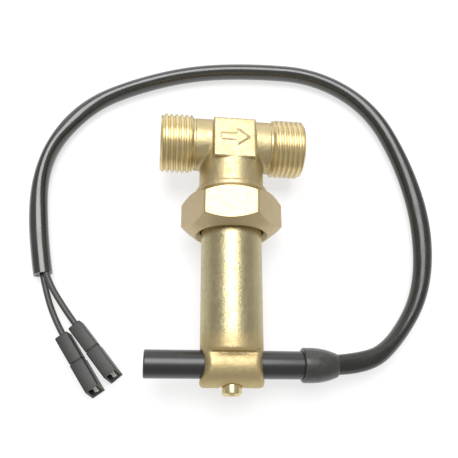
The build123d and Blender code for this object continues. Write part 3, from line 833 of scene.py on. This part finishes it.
def turn_thread():
    """The threaded surface, cut square and chamfered at both ends."""
    shape = bmesh.new()
    points = [shape.verts.new((radius, 0, first_root + along)) for along, radius in thread_outline()]
    outline = [shape.edges.new(pair) for pair in zip(points, points[1:])]
    turns = int((run_half - first_root) / thread_pitch) + spare_turns
    bmesh.ops.spin(
        shape, geom=[*points, *outline], axis=(0, 0, 1), cent=(0, 0, 0), angle=turns * 2 * pi,
        steps=turns * TURN_STEPS, dvec=(0, 0, thread_pitch / TURN_STEPS),
    )
    bmesh.ops.remove_doubles(shape, verts=shape.verts, dist=TURN_WELD)
    for height, way in ((thread_start, -1), (run_half, 1)):
        everything = [*shape.verts, *shape.edges, *shape.faces]
        bmesh.ops.bisect_plane(
            shape, geom=everything, dist=TURN_CUT_TOLERANCE,
            plane_co=(0, 0, height), plane_no=(0, 0, way), clear_outer=True,
        )
    least_r = thread_r - end_chamfer
    for vert in shape.verts:
        reach = vert.co.xy.length
        allowed = min(least_r + run_half - vert.co.z, least_r + vert.co.z - thread_start)
        if reach > allowed:
            vert.co.xy *= allowed / reach
    return shape


print("threads run from", thread_start, "to", run_half, "mm on each side of the spindle")

# %% [markdown]
# Each open rim of the thread is then drawn in, in front to the mouth and the bore, behind to the
# relief groove, and the two meet as the wall of the bore. One matrix sets a pipe end on the run, for
# the inlet with half a turn.

# %% Make the two pipe ends
relief_r = 9.05
relief_floor = groove_start - 0.2
bore_r = 7.3
mouth_r = 7.9
LEVEL_TOLERANCE = 1e-3


def rim_at(shape, height):
    """The open edges at one height."""
    return [
        edge for edge in shape.edges
        if edge.is_boundary and all(abs(v.co.z - height) < LEVEL_TOLERANCE for v in edge.verts)
    ]


def run_in(shape, rim, radius, height):
    """Extrude an open rim to a circle of a given radius at a given height."""
    new = bmesh.ops.extrude_edge_only(shape, edges=rim)["geom"]
    for vert in (item for item in new if isinstance(item, bmesh.types.BMVert)):
        angle = atan2(vert.co.y, vert.co.x)
        vert.co = Vector((radius * cos(angle), radius * sin(angle), height))
    return [item for item in new if isinstance(item, bmesh.types.BMEdge)]


def make_pipe_end(name, place):
    """A threaded pipe end with its mouth, bore and relief groove."""
    shape = turn_thread()
    front = run_in(shape, rim_at(shape, run_half), mouth_r, run_half)
    front = run_in(shape, front, bore_r, run_half - (mouth_r - bore_r))
    back = run_in(shape, rim_at(shape, thread_start), relief_r, thread_start)
    back = run_in(shape, back, relief_r, relief_floor)
    back = run_in(shape, back, bore_r, relief_floor)
    bmesh.ops.bridge_loops(shape, edges=front + back)
    open_edges = sum(edge.is_boundary for edge in shape.edges)
    shape.transform(place)
    piece = add_piece(shape, name, thread_finish, "tee", smooth_angle=45)
    print(name, len(piece.data.polygons), "faces,", open_edges, "open edges")
    return piece


along_run = Matrix.Rotation(pi / 2, 4, "Y")
half_turn = Matrix.Rotation(pi, 4, "Z")
outlet_end = make_pipe_end("outlet_thread", run_place @ along_run @ to_metres)
inlet_end = make_pipe_end("inlet_thread", run_place @ half_turn @ along_run @ to_metres)
print("pipe ends", outlet_end.name, "and", inlet_end.name)

# %% [markdown]
# ## Nut, tube and screw
#
# The nut is turned from hexagon bar, so its flats are true planes, its ends are cones, and a small
# burr-free radius breaks every edge. A copy of the CAD solid gets that radius from a bevel, after
# the triangles of each flat are joined into one face. The closed tube with its eye is a second
# forging, softened as the tee is, and the small screw gets the same skin, much finer.

# %% Make the nut, the tube and the screw
flat_angle = radians(0.5)
least_edge_angle = radians(25)


def eased_copy(name, node, material, body, width):
    """A copy of a solid whose edges are broken by a small radius."""
    shape = solid_copy(node)
    bmesh.ops.dissolve_limit(shape, angle_limit=flat_angle, verts=shape.verts, edges=shape.edges)
    piece = add_piece(shape, name, material, body, node)
    ease = piece.modifiers.new("ease", "BEVEL")
    ease.width = width * MM
    ease.segments = 3
    ease.limit_method = "ANGLE"
    ease.angle_limit = least_edge_angle
    ease.harden_normals = True
    return piece


nut = eased_copy("turned_nut", "union_nut", nut_finish, "nut", width=0.22)
tube = add_piece(
    solid_copy("lower_housing"), "forged_tube", tube_finish, "housing", "lower_housing"
)
forge(tube, skin_mm=0.32, passes=20)
screw = add_piece(
    solid_copy("clamp_screw"), "slotted_screw", screw_finish, "screw", "clamp_screw"
)
forge(screw, skin_mm=0.12, passes=2)
print("nut", len(nut.data.polygons), "faces, screw", len(screw.data.polygons), "faces")

# %% [markdown]
# ## The spring
#
# The return spring stands inside the tube between the guide bush and the disc. This piece is a rigid
# copy of it with a mesh of its own, so it would run through the disc when the flow lifts it.

# %% Make the spring
spring = add_piece(
    solid_copy("return_spring"), "return_coil", steel_finish, "housing", "return_spring"
)
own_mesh(spring)

# %% [markdown]
# ## Rod and boot
#
# The rod is an injection moulding and the boot is moulded in rubber: plain shapes whose edges are
# rounded by a few tenths of a millimetre, which catch a thin line of light. The same bevel as on the
# nut draws them.

# %% Make the rod and the boot
rod = eased_copy("sensor_rod", "sensor_housing", rod_finish, "sensor", width=0.3)
boot = eased_copy("end_boot", "sensor_boot", boot_finish, "sensor", width=0.35)
print("rod", len(rod.data.polygons), "faces, boot", len(boot.data.polygons), "faces")

# %% [markdown]
# ## The connectors
#
# The connectors are one-pole housings for a push-on terminal. Each is moulded as a rear half that
# holds the wire and a slightly larger front half, with a fine groove between them, and its mouth
# leans back at the top, so the tinned terminal shows. A half is a box with rounded edges.

# %% Blocks of a connector
connector_length = 22.4
rear_length = 10.4
groove_length = 0.4
groove_overlap = 0.6
rear_size = (4.7, 6.4)
front_size = (4.9, connector_height)
groove_size = (4.1, 5.8)
half_rounding = 0.5
groove_rounding = 0.3
mouth_wall = 0.75
mouth_step = 0.5
mouth_depth_front = 10.0
mouth_rim = 0.6
mouth_lean = 2.0
seam_side = -0.2


def add_block(shape, start, length, size, rounding):
    """A box along X with rounded edges. Returns its front face."""
    centre = Matrix.Translation((start + length / 2, seam_side, 0))
    stretch = Matrix.Diagonal((length, *size, 1))
    made = bmesh.ops.create_cube(shape, size=1, matrix=centre @ stretch)["verts"]
    front = {vert for vert in made if vert.co.x > start + length / 2}
    rims = {
        edge for vert in made for edge in vert.link_edges
        if not all(end in front for end in edge.verts)
    }
    bmesh.ops.bevel(
        shape, geom=list(rims), offset=rounding, offset_type="OFFSET", segments=3, profile=0.5,
        affect="EDGES", material=-1,
    )
    return max(shape.faces, key=lambda face: face.calc_center_median().x)


def lean_back(verts):
    """Move the verts of a mouth back, the more the higher they stand."""
    for vert in verts:
        vert.co.x -= mouth_lean * vert.co.z / front_size[1]


def set_on_wire(shape, rear, heading):
    """From a drawing in mm along X to its place behind the wire's end."""
    turn = heading.to_track_quat("X", "Z").to_matrix().to_4x4()
    shape.transform(Matrix.Translation(rear) @ turn @ to_metres)


print("connectors are", connector_length, "mm long, their front halves", front_size, "mm across")

# %% [markdown]
# The mouth is an inset of the front face, pushed in. It is pushed in two steps, so that only its rim
# leans and its bottom stays square.

# %% Make the connectors
def make_connector(name, node, rear, heading):
    """Two rounded halves with a groove between them and a mouth in front."""
    shape = bmesh.new()
    add_block(shape, 0, rear_length, rear_size, half_rounding)
    add_block(
        shape, rear_length - groove_overlap, groove_length + 2 * groove_overlap, groove_size,
        groove_rounding,
    )
    front_start = rear_length + groove_length
    mouth = add_block(
        shape, front_start, connector_length - front_start, front_size, half_rounding
    )
    bmesh.ops.inset_region(shape, faces=[mouth], thickness=mouth_wall, use_even_offset=True)
    for depth in (mouth_step, mouth_depth_front - mouth_step):
        pushed = bmesh.ops.extrude_face_region(shape, geom=[mouth])["geom"]
        bmesh.ops.delete(shape, geom=[mouth], context="FACES_ONLY")
        mouth = next(item for item in pushed if isinstance(item, bmesh.types.BMFace))
        bmesh.ops.translate(shape, vec=(-depth, 0, 0), verts=mouth.verts)
    lean_back([vert for vert in shape.verts if vert.co.x > connector_length - mouth_rim])
    set_on_wire(shape, rear, heading)
    piece = add_piece(shape, name, connector_finish, "sensor", node, smooth_angle=40)
    return piece


connector_mould_a = make_connector("connector_mould_a", "connector_a", rear_a, heading_a)
connector_mould_b = make_connector("connector_mould_b", "connector_b", rear_b, heading_b)
print("connectors", len(connector_mould_a.data.polygons), "faces each")

# %% [markdown]
# ## The terminals
#
# The terminal is a strip of tinned brass. Its sides are rolled over towards the middle, and the
# blade of the other half slides in under them. One bent line gives its section; it is drawn out
# along the connector, and a Solidify modifier gives the sheet its thickness.

# %% Make the terminals
sheet = 0.35
terminal_start = 12.9
terminal_end = 22.0
terminal_half_width = 1.15
terminal_half_height = 2.55
terminal_side = -0.35
bend = 0.3
curl_tip = -0.3
curl_middle = 0.35
curl_drop = 0.5


def make_terminal(name, node, rear, heading):
    """A strip with both of its sides rolled over."""
    shape = bmesh.new()
    half_y, half_z = terminal_half_width, terminal_half_height
    upper = [
        (curl_tip, half_z - 2 * curl_drop), (curl_middle, half_z - curl_drop),
        (half_y - bend, half_z), (half_y, half_z - bend),
    ]
    section = upper + [(side, -up) for side, up in reversed(upper)]
    points = [
        shape.verts.new((terminal_start, side + terminal_side, up)) for side, up in section
    ]
    line = [shape.edges.new(pair) for pair in zip(points, points[1:])]
    drawn = bmesh.ops.extrude_edge_only(shape, edges=line)["geom"]
    ends = [item for item in drawn if isinstance(item, bmesh.types.BMVert)]
    bmesh.ops.translate(shape, vec=(terminal_end - terminal_start, 0, 0), verts=ends)
    lean_back(ends)
    set_on_wire(shape, rear, heading)
    piece = add_piece(shape, name, tin_finish, "sensor", node, smooth_angle=50)
    thick = piece.modifiers.new("sheet", "SOLIDIFY")
    thick.thickness = sheet * MM
    thick.offset = 0
    return piece


terminal_sheet_a = make_terminal("terminal_sheet_a", "terminal_a", rear_a, heading_a)
terminal_sheet_b = make_terminal("terminal_sheet_b", "terminal_b", rear_b, heading_b)
print("terminals", len(terminal_sheet_a.data.polygons), "faces each before the sheet is thick")

# %% [markdown]
# Each wire comes out of the sleeve's cut end. It, its connector and its terminal all ride on the
# sensor's body.

# %% Wires
for wire, length, connector, terminal in (
    (wire_a, wire_a_length, connector_mould_a, terminal_sheet_a),
    (wire_b, wire_b_length, connector_mould_b, terminal_sheet_b),
):
    tuple(cable_end)
print("wires end in", connector_mould_a.name, "and", connector_mould_b.name)

# %% [markdown]
# ## Floor
#
# The photograph has a plain white ground. The floor is pale paper, which takes the object's own soft
# shadow and is mirrored in the side faces of the nut. Where the camera, a mirroring or a clear
# surface looks at it, the paper glows as well, just enough to be plain white there; its light on the
# object stays that of paper.

# %% Floor
FLOOR_HALF = 1.5
floor_drop = 0.2
paper_tone = "a2a2a2"
paper_glow = 0.66
WHITE = (1.0, 1.0, 1.0, 1.0)


def white_paper():
    """Paper that a camera, and the metal on it, sees as plain white, with a soft shadow left."""
    material, tree, shader = new_material("white_paper")
    shader.inputs["Base Color"].default_value = screen(paper_tone)
    shader.inputs["Roughness"].default_value = 0.9
    path = add(tree, "LightPath").outputs
    mirrored = add(tree, "Math", n0=path["Is Glossy Ray"], n1=path["Is Transmission Ray"])
    seen = add(tree, "Math", n0=path["Is Camera Ray"], n1=mirrored.outputs["Value"])
    glow = add(
        tree, "Math", {"operation": "MULTIPLY"}, n0=seen.outputs["Value"], n1=paper_glow
    )
    shader.inputs["Emission Color"].default_value = WHITE
    tree.links.new(glow.outputs["Value"], shader.inputs["Emission Strength"])
    return material


def make_floor():
    """A square of paper just below the object."""
    shape = bmesh.new()
    bmesh.ops.create_grid(shape, x_segments=1, y_segments=1, size=FLOOR_HALF)
    mesh = bpy.data.meshes.new("bench")
    shape.to_mesh(mesh)
    shape.free()
    floor = bpy.data.objects.new("bench", mesh)
    bpy.context.scene.collection.objects.link(floor)
    floor.location.z = -floor_drop * MM
    mesh.materials.append(white_paper())
    return floor


floor = make_floor()
print("floor", floor.name, 2 * FLOOR_HALF, "m wide")

# %% [markdown]
# ## Light
#
# The photograph was taken under one broad soft light, a little behind the tee, in a dim room. Metal
# shows what is around it, so the light is an area lamp of that size in that place, a fainter one
# stands for the pale wall behind, and the room is a dim even grey.

# %% Light
room_light = 0.48
lamp_light = 8.8
lamp_away = 1.0
lamp_tilt = radians(17)
lamp_size = (0.75, 0.62)
wall_light = 3.2
wall_away = 1.0
wall_height = 0.35
wall_size = (1.6, 0.8)

world = bpy.data.worlds.new("studio")
world.use_nodes = True
bpy.context.scene.world = world
room = world.node_tree.nodes["Background"]
room.inputs["Strength"].default_value = room_light
room.inputs["Color"].default_value = WHITE


def softbox(name, place, size, power):
    """A rectangular lamp that faces the middle of the object."""
    light = bpy.data.lights.new(name, "AREA")
    light.shape = "RECTANGLE"
    light.size, light.size_y = size
    light.energy = power
    lamp = bpy.data.objects.new(name, light)
    bpy.context.scene.collection.objects.link(lamp)
    lamp.location = place
    lamp.rotation_euler = (camera_target - place).to_track_quat("-Z", "Y").to_euler()
    return lamp


lamp_place = Vector((0, sin(lamp_tilt), cos(lamp_tilt))) * lamp_away
overhead = softbox("overhead", lamp_place, lamp_size, lamp_light)
back_wall = softbox("back_wall", Vector((0, wall_away, wall_height)), wall_size, wall_light)
bpy.context.scene.view_settings.view_transform = "Standard"
print("room", room_light, "with", overhead.name, lamp_light, "W and", back_wall.name, wall_light, "W")
